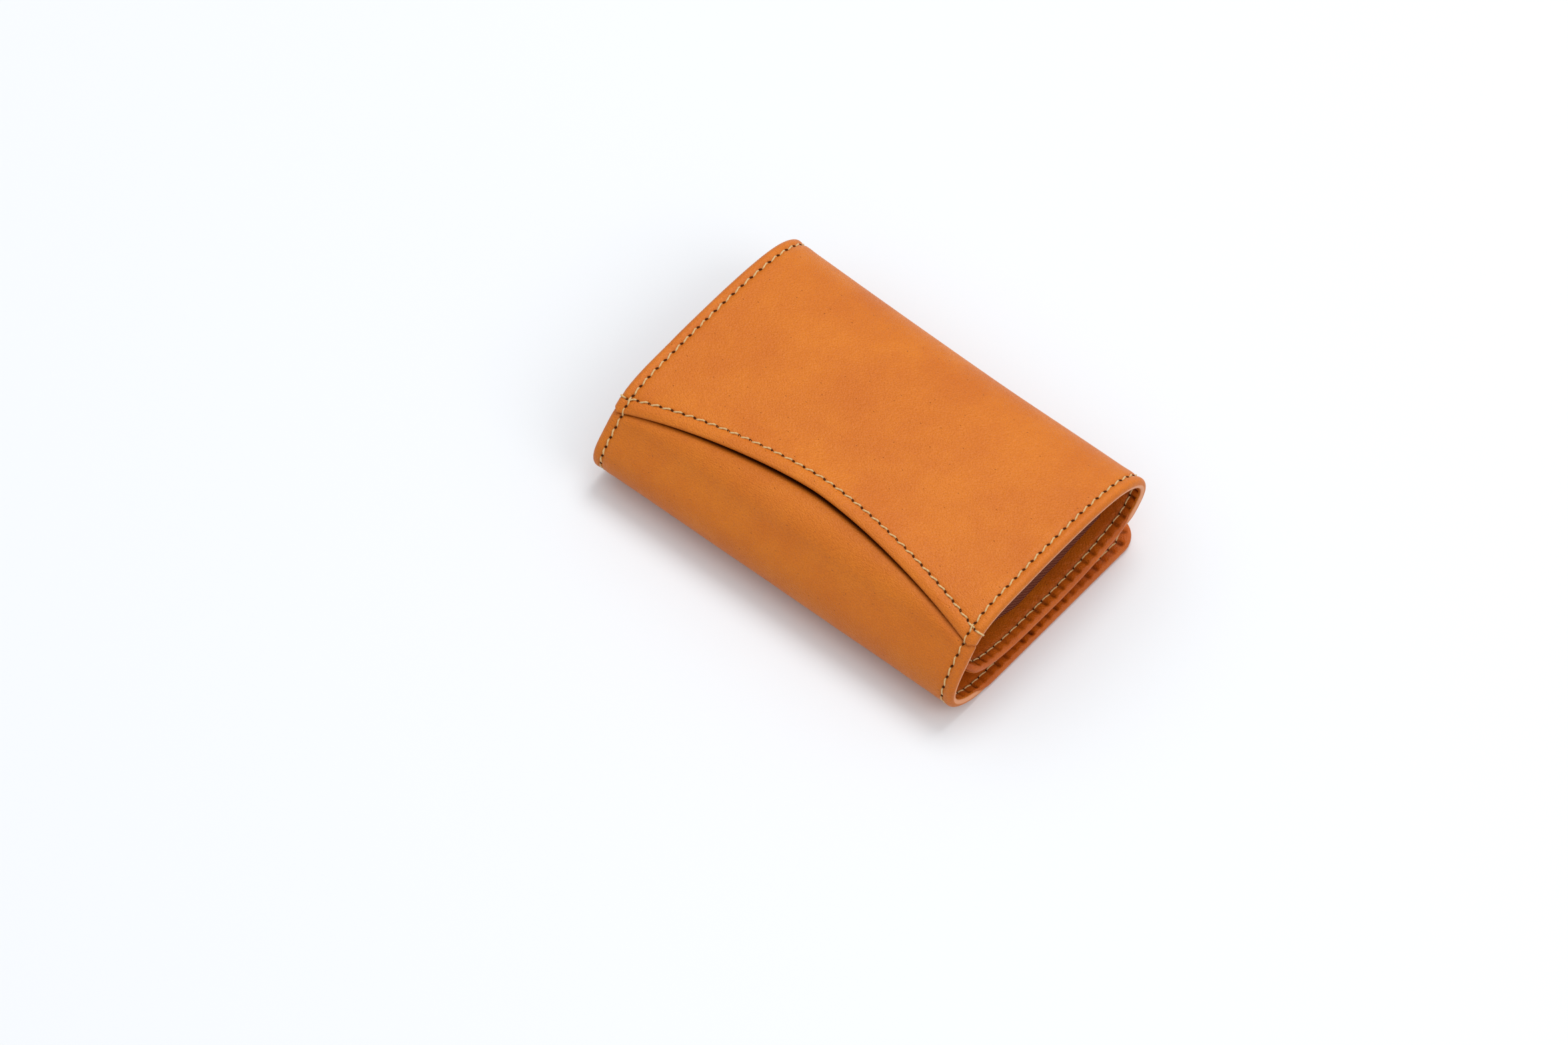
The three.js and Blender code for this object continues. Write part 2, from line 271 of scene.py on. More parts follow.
def spaced(low, high, step, low_zone, high_zone, fine):
    """Values from low to high, step apart, and closing up towards both ends."""
    values = np.linspace(low, high, max(2, round((high - low) / step) + 1))
    values = values[(values > low + low_zone) & (values < high - high_zone)]
    for at, sign, zone in ((low, 1, low_zone), (high, -1, high_zone)):
        count = max(4, round(zone / fine))
        closing = zone * (1 - np.cos(np.linspace(0, math.pi / 2, count + 1)))
        values = np.concatenate([values, at + sign * closing])
    values = np.sort(values)
    return values[np.concatenate([[True], np.diff(values) > 1e-4])]


def quads(index, flip):
    a, b, c, d = index[:-1, :-1], index[:-1, 1:], index[1:, 1:], index[1:, :-1]
    order = (a, d, c, b) if flip else (a, b, c, d)
    return np.stack([q.ravel() for q in order], -1)


def plate(name, line, s, x, top, bottom, material, shade, round_start=True, round_end=True):
    """A closed sheet of varying thickness. s, x, top and bottom are grids, rows along the line;
    top and bottom are depths. The sides close on themselves, and so does an end that is round."""
    n, m = s.shape
    first = np.arange(n * m).reshape(n, m)
    second = first + n * m
    second[:, 0], second[:, -1] = first[:, 0], first[:, -1]
    if round_start:
        second[0] = first[0]
    if round_end:
        second[-1] = first[-1]
    verts = [line.place(x, s, top).reshape(-1, 3), line.place(x, s, bottom).reshape(-1, 3)]
    flat = [np.stack([x, s, top], -1).reshape(-1, 3), np.stack([x, s, bottom], -1).reshape(-1, 3)]
    faces = [quads(first, True), quads(second, False)]
    sharp = []
    for is_round, row, flip in ((round_start, 0, True), (round_end, -1, False)):
        if not is_round:
            a, b, c, d = first[row, :-1], first[row, 1:], second[row, 1:], second[row, :-1]
            faces.append(np.stack((a, b, c, d) if flip else (a, d, c, b), -1))
            sharp += [first[row], second[row]]
    used, faces = np.unique(np.concatenate(faces), return_inverse=True)
    rings = [[v for k, v in enumerate(f) if v != f[k - 1]] for f in faces.reshape(-1, 4).tolist()]
    rings = [ring for ring in rings if len(ring) > 2]
    shades = np.concatenate([np.broadcast_to(side, s.shape).ravel() for side in shade])
    verts, flat = np.concatenate(verts)[used], np.concatenate(flat)[used]
    piece = new_mesh(name, verts, rings, flat, shades[used], [material])
    if sharp:
        edges = np.zeros(len(piece.data.edges) * 2, np.int32)
        piece.data.edges.foreach_get("vertices", edges)
        edges = edges.reshape(-1, 2)
        flags = np.zeros(len(edges), bool)
        back = np.full(2 * n * m, -1)
        back[used] = np.arange(len(used))
        for ring in sharp:
            flags |= np.isin(edges, back[ring]).all(axis=1)
        mark = piece.data.attributes.new("sharp_edge", "BOOLEAN", "EDGE")
        mark.data.foreach_set("value", flags)
    return piece


# ------------------------------------------------------------------ outlines of the leaves
def border(x, s, side, corner, start=None, end=None):
    """Distance in from a leaf's outline. start and end are free ends with rounded corners."""
    u = inside = side - np.abs(x)
    for at, sign in ((start, 1), (end, -1)):
        if at is not None:
            v = (s - at) * sign
            round_in = corner - np.hypot(corner - u, corner - v)
            in_corner = (u < corner) & (v < corner)
            inside = np.minimum(inside, np.where(in_corner, round_in, np.minimum(u, v)))
    return np.maximum(inside, 0)


def leaf_grid(low, high, side, corner, free_low, free_high):
    """Grids of s and x over a leaf. A free end narrows round its corners."""
    s = spaced(low, high, 0.36, corner if free_low else 0.6, corner if free_high else 0.6, 0.27)
    across = spaced(-side, side, 0.9, 6.0, 6.0, 0.2)
    narrow = np.full(len(s), float(side))
    for at, sign, free in ((low, 1, free_low), (high, -1, free_high)):
        if free:
            e = np.clip((s - at) * sign, 0, corner)
            narrow = np.minimum(narrow, side - corner + np.sqrt(corner ** 2 - (corner - e) ** 2))
    keep = 12  # the columns this near the sides keep their distance from the outline
    inner = np.sign(across) * (narrow[:, None] - (side - np.abs(across)))
    scaled = across * ((narrow[:, None] - keep) / (side - keep))
    x = np.where(np.abs(across) > side - keep, inner, scaled)
    return np.repeat(s[:, None], len(across), 1), x


def quarter(u, radius):
    """0 at an edge and 1 from one radius in, along a quarter circle."""
    v = np.clip(1 - u / radius, 0, 1)
    return np.sqrt(1 - v * v)


def rolled(u, top, bottom, top_radius=1.0, bottom_radius=0.4):
    """Depths of a sheet's two faces, drawn together at its edge."""
    middle = (top + bottom) / 2
    top = middle + (top - middle) * quarter(u, top_radius)
    return top, middle + (bottom - middle) * quarter(u, bottom_radius)


def behind_lip(x, s):
    """Distance behind the pocket mouth's lip, negative in front of it."""
    return (s - lip_s(x)) * lip_slope(x)


def mouth_share(x):
    """How far the pocket mouth gapes: nothing at the tabs and 1 in the middle."""
    return np.clip(1 - (x / MOUTH_HALF) ** 2, 0, 1)


def panel_level(x, s):
    """Depth of the pocket panel's face: it stands up from the leather under it near the lip."""
    return -(0.12 + 0.75 * mouth_share(x)) * (1 - smooth(0, 11, behind_lip(x, s)))


def base_level(x, s):
    """Depth of the leather that slips under the pocket panel."""
    back = behind_lip(x, s)
    reach = 2.6 + 1.6 * mouth_share(x)
    drop = (0.75 + 0.35 * mouth_share(x)) * np.clip((back + reach) / (reach + 0.3), 0, 1) ** 2.2
    return drop - 0.10 * mouth_share(x) * bump(back + 8, 4)


def groove_depth(s):
    """The seam lies deeper under the wallet, where it would touch the table."""
    return 0.20 + 0.20 * (1 - smooth(TABLE_END - 3, TABLE_END + 3, s))


def leaf_depth(u, s):
    """Depth of the lining's face. The top leaf is thicker away from its seams."""
    zone = smooth(S_F2 - 1, S_F2 + 5, s) * (1 - smooth(S_R1 - 9, S_R1 - 2, s))
    return LEAF + TOP_EXTRA * zone * smooth(3, 7, u)


# ------------------------------------------------------------------ materials
GRAIN_SHADE = 0.8  # how much darker the leather is between its grains
GRAIN_HEIGHT = 0.00013
CUT_EDGE_HIGHLIGHT = (0.90, 0.46, 0.27, 1)  # the pale colour of the leather's edge, brightened as a painted highlight where the edge catches the light
YARN_SPACING = 0.45
UNLIT = (0.012, 0.003, 0.001, 1)  # painted shadow: leather in the gap under the lip, as if unlit


class Nodes:
    def __init__(self, name):
        self.material = bpy.data.materials.new(name)
        self.material.use_nodes = True
        self.tree = self.material.node_tree
        self.shader = self.tree.nodes["Principled BSDF"]

    def add(self, kind, settings=None, **inputs):
        node = self.tree.nodes.new(kind)
        for key, value in (settings or {}).items():
            setattr(node, key, value)
        for key, value in inputs.items():
            self.put(node, key, value)
        return node

    def put(self, node, key, value):
        name = key.replace("_", " ") if isinstance(key, str) else key
        socket = node.inputs[name]
        if isinstance(value, bpy.types.NodeSocket):
            self.tree.links.new(value, socket)
        else:
            socket.default_value = value

    def math(self, operation, a, b=0.0, clamp=False):
        node = self.add("ShaderNodeMath", {"operation": operation, "use_clamp": clamp})
        self.put(node, 0, a)
        self.put(node, 1, b)
        return node.outputs[0]

    def mix(self, factor, a, b, blend="MIX"):
        node = self.add("ShaderNodeMix", {"data_type": "RGBA", "blend_type": blend})
        for index, value in ((0, factor), (6, a), (7, b)):
            self.put(node, index, value)
        return node.outputs[2]

    def ramp(self, factor, low, high):
        node = self.add("ShaderNodeMapRange", {"interpolation_type": "SMOOTHSTEP"})
        for index, value in ((0, factor), (1, low), (2, high)):
            self.put(node, index, value)
        return node.outputs[0]

    def flat(self, scale=(1, 1, 1)):
        source = self.add("ShaderNodeAttribute", {"attribute_name": "flat"})
        node = self.add("ShaderNodeVectorMath", {"operation": "MULTIPLY"})
        self.put(node, 0, source.outputs["Vector"])
        self.put(node, 1, scale)
        return node.outputs[0]

    def noise(self, vector, scale, detail=2.0, rough=0.5):
        inputs = {"Vector": vector, "Scale": scale, "Detail": detail, "Roughness": rough}
        return self.add("ShaderNodeTexNoise", **inputs).outputs["Fac"]

    def cells(self, vector, scale, output="Distance", feature="F1", flat=False):
        settings = {"feature": feature, "voronoi_dimensions": "2D" if flat else "3D"}
        return self.add("ShaderNodeTexVoronoi", settings, Vector=vector, Scale=scale).outputs[output]

    def shade(self):
        """How dark each vertex was made when its piece was built: wear and seam marks, painted shade and
        painted shadow, and below 0 a painted highlight.
        """
        return self.add("ShaderNodeAttribute", {"attribute_name": "shade"}).outputs["Fac"]

    def bump(self, height, distance, strength=1.0):
        node = self.add("ShaderNodeBump", Height=height, Distance=distance, Strength=strength)
        return node.outputs["Normal"]


def leather(name, light, deep, dark, roughness=0.42):
    """Smooth tanned leather: slow mottling, fine pebbled grain, scattered pores and edges darkened by
    wear. Shade above 0 darkens it, for wear, seam marks and painted shade; above 1 it turns to an unlit
    painted shadow; and below 0 it takes the pale colour of the leather's trimmed edge, brightened as a
    painted highlight."""
    n = Nodes(name)
    plain = n.flat()
    slow = n.noise(plain, 0.06, 4.0, 0.6)
    mottled = n.noise(plain, 0.32, 4.0, 0.6)
    fine = n.noise(n.flat((2.6, 5.0, 2.6)), 1.0, 2.0, 0.6)
    pebbles = n.cells(n.flat((2.3, 4.2, 2.3)), 1.0, feature="SMOOTH_F1")
    colour = n.mix(n.ramp(slow, 0.3, 0.72), light, deep)
    colour = n.mix(n.math("MULTIPLY", n.ramp(mottled, 0.35, 0.8), 0.5), colour, deep)
    shaded = n.mix(1.0, colour, (0.80, 0.72, 0.64, 1), "MULTIPLY")
    between = n.math("MULTIPLY", n.ramp(fine, 0.35, 0.75), GRAIN_SHADE)
    colour = n.mix(between, colour, shaded)
    spread = n.flat((0.15, 0.27, 1.0))
    cell_colour = n.cells(spread, 1.0, "Color", flat=True)
    chosen = n.add("ShaderNodeSeparateColor", Color=cell_colour).outputs[0]
    near = n.ramp(n.cells(spread, 1.0, flat=True), 0.032, 0.010)
    pore = n.math("MULTIPLY", near, n.math("GREATER_THAN", chosen, 0.5))
    colour = n.mix(n.math("MULTIPLY", pore, 0.6), colour, dark)
    wear_and_painted_light = n.shade()
    colour = n.mix(n.math("MULTIPLY", wear_and_painted_light, 1.0, clamp=True), colour, dark)
    colour = n.mix(n.math("MULTIPLY", wear_and_painted_light, -1.0, clamp=True), colour, CUT_EDGE_HIGHLIGHT)
    colour = n.mix(n.math("SUBTRACT", wear_and_painted_light, 1.0, clamp=True), colour, UNLIT)
    n.put(n.shader, "Base Color", colour)
    height = n.math("ADD", n.math("MULTIPLY", pebbles, 0.9), n.math("MULTIPLY", fine, -0.6))
    height = n.math("SUBTRACT", height, n.math("MULTIPLY", pore, 0.5))
    n.put(n.shader, "Normal", n.bump(height, GRAIN_HEIGHT))
    rough = n.math("ADD", roughness - 0.06, n.math("MULTIPLY", mottled, 0.14))
    n.put(n.shader, "Roughness", n.math("ADD", rough, n.math("MULTIPLY", pore, 0.2)))
    shiny = n.math("SUBTRACT", 1.0, wear_and_painted_light, clamp=True)
    n.put(n.shader, "Specular IOR Level", n.math("MULTIPLY", shiny, 0.32))
    return n.material


def thread_material():
    n = Nodes("thread")
    plain = n.flat()
    strands = n.noise(plain, 9.0, 2.0, 0.6)
    colour = n.mix(n.ramp(strands, 0.3, 0.75), (0.86, 0.59, 0.26, 1), (0.52, 0.29, 0.10, 1))
    wear_and_painted_light = n.shade()
    # On a thread the shade attribute is only painted shade, where the thread dips into its needle holes.
    n.put(n.shader, "Base Color", n.mix(wear_and_painted_light, colour, (0.20, 0.09, 0.03, 1)))
    n.put(n.shader, "Normal", n.bump(n.noise(plain, 14.0, 2.0), 0.00005, 0.8))
    n.shader.inputs["Roughness"].default_value = 0.62
    n.shader.inputs["Sheen Weight"].default_value = 0.2
    return n.material


def hole_material():
    n = Nodes("needle_hole")
    depth = n.noise(n.flat(), 2.5, 2.0)
    # Near black: painted shade for the dark inside the needle hole.
    n.put(n.shader, "Base Color", n.mix(depth, (0.045, 0.011, 0.003, 1), (0.100, 0.026, 0.008, 1)))
    n.shader.inputs["Roughness"].default_value = 0.9
    n.shader.inputs["Specular IOR Level"].default_value = 0.0
    return n.material


def nylon_material():
    """Fine weave with light specks where the yarns cross: painted highlights where the yarns catch the
    light.
    """
    n = Nodes("nylon_weave")
    parts = n.add("ShaderNodeSeparateXYZ", Vector=n.flat())
    yarn = 2 * math.pi / YARN_SPACING
    warp = n.math("SINE", n.math("MULTIPLY", parts.outputs[1], yarn))
    across = n.math("ADD", parts.outputs[0], n.math("MULTIPLY", parts.outputs[2], 0.7))
    weft = n.math("SINE", n.math("MULTIPLY", across, yarn))
    woven = n.math("MULTIPLY", warp, weft)
    yarn_glints = n.ramp(woven, 0.25, 0.9)
    colour = n.mix(n.noise(n.flat(), 0.6, 2.0), (0.070, 0.009, 0.003, 1), (0.095, 0.013, 0.004, 1))
    weave_with_painted_glints = n.mix(n.math("MULTIPLY", yarn_glints, 0.85), colour, (0.50, 0.20, 0.12, 1))
    n.put(n.shader, "Base Color", weave_with_painted_glints)
    n.put(n.shader, "Normal", n.bump(woven, 0.00005, 0.8))
    n.shader.inputs["Roughness"].default_value = 0.75
    n.shader.inputs["Specular IOR Level"].default_value = 0.05
    return n.material


# Each leather's colour where it is light, where it is mottled and where it is dark.
TAN = leather("tan_leather", (0.740, 0.202, 0.008, 1), (0.660, 0.160, 0.006, 1), (0.160, 0.032, 0.004, 1))
# The lining is tan leather too, coloured darker and redder than the tan as painted shade and painted light
# bounced from the leather round it.
LINING = leather(
    "lining_leather", (0.640, 0.140, 0.004, 1), (0.510, 0.098, 0.003, 1), (0.090, 0.013, 0.002, 1)
)
POCKET = leather(
    "pocket_leather", (0.600, 0.150, 0.016, 1), (0.500, 0.118, 0.012, 1), (0.150, 0.030, 0.005, 1), 0.5
)
THREAD = thread_material()
HOLE_SHADE = hole_material()
NYLON = nylon_material()


# ------------------------------------------------------------------ the leather pieces
# For each fold: the two bodies, the row of its hinge, and how far before and after it the bend reaches.
FOLDS = {
    "front_lower": ("bottom_leaf", "front_spine", BOTTOM_PIVOT, 8.5, 7.0),
    "front_upper": ("front_spine", "top_leaf", TOP_PIVOT, 9.0, 5.5),
    "far_upper": ("top_leaf", "far_spine", FAR_UPPER_PIVOT, 5.0, 4.5),
    "far_lower": ("far_spine", "inner_leaf", FAR_LOWER_PIVOT, 4.5, 5.0),
}


def tie(piece, place):
    """Fixes a piece to a body. A piece over one of the folds between two bodies only has its transform
    baked into its mesh.
    """
    if place not in FOLDS:
        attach(piece, place)
        return
    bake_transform(piece)


def finish_piece(piece, nodes, place):
    """Hides the CAD nodes a piece stands for and ties it to its body, unless it lies over a fold."""
    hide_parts(*nodes)
    tie(piece, place)


def sewn_face(u, mark, s):
    """Depth added to a shell by its seam, and how dark the seam makes it."""
    at_hole = needle(mark, 4)
    groove = bump(u - SEAM_MARGIN, 0.5) * (groove_depth(s) + 0.16 * at_hole)
    raised = smooth(TABLE_END - 4, TABLE_END + 4, s)
    pillow = raised * (0.12 * bump(u - 1.25, 0.75) + 0.06 * bump(u - 4.2, 1.3))
    dark = 0.55 * bump(u - SEAM_MARGIN, 0.30) * needle(mark, 8) + 0.10 * bump(u - SEAM_MARGIN, 0.6)
    return (groove - pillow) * smooth(0, 0.9, u), dark


def covered(s):
    """1 where the lining comes right out to a leaf's rim: the flat of the bottom and inner leaves."""
    return 1 - smooth(TABLE_END + 2, TABLE_END + 8, s) + smooth(S_R2 + 1, S_R2 + 6, s)


def shell(name, low, high, nodes, place, free_low=False, free_high=False):
    """Outer leather of a leaf or spine, turned over its edges as far as the lining."""
    s, x = leaf_grid(low, high, SIDE, CORNER, free_low, free_high)
    u = border(x, s, SIDE, CORNER, low if free_low else None, high if free_high else None)
    mark = seam_mark(x, s)
    level = 0 * s
    if name == "front_leather":
        level = base_level(x, s)
        tucked = smooth(0.75, 1.5, behind_lip(np.full_like(x, SIDE), s))
        x = x * (1 - tucked * TUCK_IN / SIDE)
    sewn, dark = sewn_face(u, mark, s)
    cover = covered(s)
    under = (LEAF - 0.03) * (1 - cover) + (level + RIM_LEATHER) * cover
    top, under = rolled(u, level, under, 1.0 - 0.8 * cover, 0.4 - 0.34 * cover)
    x = x * (1 - 0.5 * cover / SIDE)
    if free_low:
        s = s + 0.5 * (1 - smooth(0, CORNER, s - low))
    soft = 0.05 * wander(x, s, 21, 1) * smooth(4, 12, u) * smooth(TABLE_END, TABLE_END + 8, s)
    if name == "front_leather":
        back, gape = behind_lip(x, s), mouth_share(x)
        # Painted shadow under the pocket panel's lip: black in the gap, with painted shade on the slack
        # leather in front of it.
        dark = dark + 1.0 * smooth(-0.10 - 0.30 * gape, 0.15, back) * smooth(1.0, 4.0, u)
        dark = dark + 0.6 * smooth(-0.5 - 0.9 * gape, 0.0, back) * smooth(0.3, 3.0, u)
        dark = dark + 0.26 * gape * smooth(-4.5, -0.3, back)
    # Burnish and painted shade over the front fold, and a little random tone.
    dark = dark + FOLD_BURNISH_AND_SHADE * bump(s - S_F1 - 4, 6) + 0.02 * wander(x, s, 18, 11)
    top = top + sewn - soft
    thin = smooth(0.9, 1.3, u)
    bottom = under * (1 - thin) + (level + SHELL) * thin
    dark = dark + 0.10 * bump(u - 0.15, 0.35)
    # Painted highlight along the underside of the rim, where the leather's edge catches the light.
    cut_edge_highlight = 0.6 * (1 - smooth(0.15, 0.55, u)) * (1 - cover)
    piece = plate(name, outer, s, x, top, bottom, TAN, (dark, dark * 0.4 - cut_edge_highlight), free_low, free_high)
    finish_piece(piece, nodes, place)


def curl_wrinkles(x, s, u):
    """Creases that fan across the seam where the inner leaf curls up inside the front spine."""
    tight = smooth(outer.rows[CURL_START] + 2, outer.rows[CURL_TIGHT] + 1, s)
    ripple = 0.5 + 0.5 * np.sin(2 * math.pi * s / 1.5 + 1.4 * wander(x, s, 5, 6))
    return 0.26 * tight * ripple * bump(u - 2.6, 1.8)


def lining(name, low, high, nodes, place, free_low=False, free_high=False):
    """Lining leather: gathered along the seam and wrinkled where the leaf curls, with painted shade in its
    gathers and creases.
    """
    s, x = leaf_grid(low, high, SIDE, CORNER, free_low, free_high)
    v = border(x, s, SIDE, CORNER, low if free_low else None, high if free_high else None)
    cover = covered(s)
    inset = 0.5 * (1 - cover)
    x = x * (1 - inset / SIDE)
    u = v + inset
    at_hole = needle(seam_mark(x, s) + 0.12 * wander(x, s, 8, 2), 2.5)
    gather = bump(u - SEAM_MARGIN, 0.6) * 0.24
    uneven = 0.8 + 0.45 * wander(x, s, 9, 9)
    gather += at_hole * uneven * (0.50 * bump(u - 1.5, 0.85) + 0.20 * bump(u - 3.5, 0.9))
    gather += 0.10 * bump(u - 5, 2.0) * at_hole * wander(x, s, 6, 3)
    wave = 0.07 * wander(x, s, 15, 4) * smooth(2, 8, u)
    creased = gather + wave + curl_wrinkles(x, s, u)
    deep = leaf_depth(u, s)
    rim = cover * (1 - smooth(0.9, 1.3, u))
    meeting = (deep - LINING_THICKNESS) * (1 - rim) + (RIM_LEATHER + 0.02) * rim
    top, bottom = rolled(v, meeting, deep, 0.35 + 0.35 * cover, 0.35 + 0.55 * cover)
    bottom = np.maximum(bottom - creased * smooth(0, 0.7, v), top + 0.04 * smooth(0, 0.3, v))
    # Painted shade in the gathers and creases, darker where they are deeper, and a dark line along the
    # lining's edge.
    dark = 0.35 * bump(v, 0.12) * (1 - cover) + 1.9 * np.clip(creased - 0.12, 0, 1) * smooth(0, 0.5, v)
    dark = np.minimum(dark, 0.85)
    piece = plate(name, outer, s, x, top, bottom, LINING, (dark * 0, dark), free_low, free_high)
    finish_piece(piece, nodes, place)


def pocket_panel():
    """The panel over the top leaf, from its turned lip round the far fold to the inner leaf."""
    across = spaced(-SIDE, SIDE, 0.9, 6.0, 6.0, 0.2)
    chamfer = np.clip(np.abs(across) - (SIDE - TAB_CHAMFER), 0, None)
    start = lip_s(across) + chamfer
    back = spaced(0, S_FAR - float(lip_s(np.zeros(1))[0]), 0.36, 5.0, 0.6, 0.16)
    near = back[:, None] + start[None, :]
    fade = smooth(0, back[-1], back)[:, None]
    s = near + (S_FAR - near[-1:]) * fade
    x = np.repeat(across[None, :], len(back), 0)
    u_lip = (s - start[None, :]) * lip_slope(across)[None, :]
    u = SIDE - np.abs(x)
    sewn, dark = sewn_face(u, seam_mark(x, s), s)
    m_mark = mouth_mark(x)
    mouth = bump(u_lip - LIP_SEAM, 0.42) * (0.17 + 0.12 * needle(m_mark, 4))
    hem = 0.20 * bump(u_lip - 1.5, 0.9) * smooth(1.5, 5, u)
    level = panel_level(x, s) - 0.06 * wander(x, s, 26, 5) * smooth(4, 12, u)
    top, under = rolled(u, level, LEAF - 0.03)
    thick = 0.85 + 0.15 * mouth_share(x) * (1 - smooth(5, 7, u_lip))
    thin = smooth(0.9, 1.3, u)
    bottom = under * (1 - thin) + (level + thick) * thin
    top = top + sewn + (mouth - hem) * smooth(0, 0.6, u_lip)
    top, bottom = rolled(u_lip, top, bottom, 0.5, 0.5)
    dark = dark + 0.10 * bump(u - 0.15, 0.35) + 0.20 * bump(u_lip, 0.3)
    dark = dark + bump(u_lip - LIP_SEAM, 0.3) * (0.5 * needle(m_mark, 8) + 0.08)
    # Painted highlight along the underside of the rim, where the leather's edge catches the light.
    cut_edge_highlight = 0.6 * (1 - smooth(0.15, 0.55, u))
    piece = plate("pocket_panel", outer, s, x, top, bottom, TAN, (dark, dark * 0.4 - cut_edge_highlight), True, False)
    finish_piece(piece, ["top_pocket_panel", "far_spine_outer"], "far_upper")


shell("bottom_leather", 0, S_FRONT, ["bottom_leaf_outer"], "front_lower", free_low=True)
shell("front_leather", S_FRONT, S_TOP, ["front_spine_outer", "top_leaf_base"], "front_upper")
pocket_panel()
shell("inner_leather", S_FAR, outer.length, ["inner_leaf_outer"], "far_lower", free_high=True)
lining("bottom_lining", 0, S_FRONT, ["bottom_leaf_lining"], "front_lower", free_low=True)
lining("front_lining", S_FRONT, S_TOP, ["front_spine_lining"], "front_upper")
lining("top_lining", S_TOP, S_FAR, ["top_leaf_lining", "far_spine_lining"], "far_upper")
lining("inner_lining", S_FAR, outer.length, ["inner_leaf_lining"], "far_lower", free_high=True)


# ------------------------------------------------------------------ the pieces sewn inside
def panel(name, line, along, span, depths, material, body, nodes, swell=0):
    """A thin sheet between two depths with rounded edges and a pressed line along them. A folded
    sheet swells along its open edge."""
    low, high = along
    left, right = span
    near, far = depths
    rows, columns = spaced(low, high, 0.6, 2.0, 2.0, 0.2), spaced(left, right, 1.2, 3.0, 3.0, 0.2)
    s, x = np.meshgrid(rows, columns, indexing="ij")
    u = np.minimum(np.minimum(s - low, high - s), np.minimum(x - left, right - x))
    radius = 0.35 if swell else (far - near) / 2
    if swell:
        opened = smooth(low, low + 11, s) + 0.06 * wander(x * 0, s, 9, 4)
        far = near + (far - near) * (0.25 + 0.75 * opened) + swell * bump(x - right, 6) * opened
    top, bottom = rolled(u, near, far, radius, radius)
    pressed = 0.06 * bump(u - 1.3, 0.16) + 0.04 * wander(x, s, 18, 8) * smooth(1, 5, u)
    pressed = pressed * smooth(0.4, 0.8, u)
    dark = 0.4 * bump(u - 1.3, 0.2) + 0.15 * bump(u, 0.4)
    piece = plate(name, line, s, x, top + pressed, bottom - pressed, material, (dark, dark))
    finish_piece(piece, nodes, body)
    return piece


INNER_X = SIDE - SEAM_MARGIN - 1
DIVIDER_X = 44.5
DIVIDER_THICKNESS = 1.2
NYLON_THICKNESS = 2.0
NYLON_SWELL = 2.2
SLOT_THICKNESS, SLOT_STEP = 0.5, 0.8  # each card slot's leather, and how far the next lies below it
SLOT_RIGHT, SLOT_STAGGER = 34, 10  # the upper slot's right-hand edge, and how far short the next ones stop
SLIP_THICKNESS, SLIP_RIGHT, SLIP_MARGIN = 0.6, 30, 5
GAP = 0.3
below_divider = DIVIDER_THICKNESS + GAP
below_nylon = below_divider + NYLON_THICKNESS + GAP
flat_part = tuple(divider.rows[row] for row in DIVIDER_FLAT)
divider_span = (-INNER_X, DIVIDER_X)
panel("bill_divider_panel", divider, (0, divider.length), divider_span, (0, DIVIDER_THICKNESS), POCKET,
      "top_leaf", ["bill_divider"])
nylon = panel("card_pocket_nylon", divider, flat_part, divider_span,
              (below_divider, below_divider + NYLON_THICKNESS), NYLON,
              "top_leaf", ["card_pocket_lining"], NYLON_SWELL)
for index, level in enumerate(("upper", "middle", "lower")):
    near = below_nylon + SLOT_STEP * index
    panel(f"card_slot_{level}_leather", divider, (flat_part[0] + SEAM_MARGIN, flat_part[1]),
          (-INNER_X, SLOT_RIGHT - SLOT_STAGGER * index), (near, near + SLOT_THICKNESS), POCKET,
          "top_leaf", [f"card_slot_{level}"])
slip = (LEAF + GAP, LEAF + GAP + SLIP_THICKNESS)
slip_span = (-INNER_X, SLIP_RIGHT)
inner_slip = (outer.rows[INNER_START], outer.rows[CURL_START] - SLIP_MARGIN)
panel("bottom_slip_pocket", outer, (SLIP_MARGIN, TABLE_END), slip_span, slip, POCKET,
      "bottom_leaf", ["bottom_leaf_pocket"])
panel("inner_slip_pocket", outer, inner_slip, slip_span, slip, POCKET,
      "inner_leaf", ["inner_leaf_pocket"])


# ------------------------------------------------------------------ stitches
OUTSIDE, INSIDE = 1, -1
THREAD_RADIUS = {OUTSIDE: 0.20, INSIDE: 0.16}
LEAN = {OUTSIDE: 0.21, INSIDE: 0.07}  # sideways shift of a stitch's end from the seam line
START = {OUTSIDE: 0.34, INSIDE: 0.14}  # distance along the seam from a hole to the thread in it
HOLE = {OUTSIDE: (0.48, 0.27), INSIDE: (0.30, 0.17)}  # half diagonals of a needle hole
HOLE_TILT = math.radians(-28)
BOWL = ((0.05, 0.15), (0.01, 0.7), (-0.06, 1.0), (0.02, 1.04), (0.42, 0.6))  # a hole's rings
RING = np.linspace(0, 2 * math.pi, 10, endpoint=False)


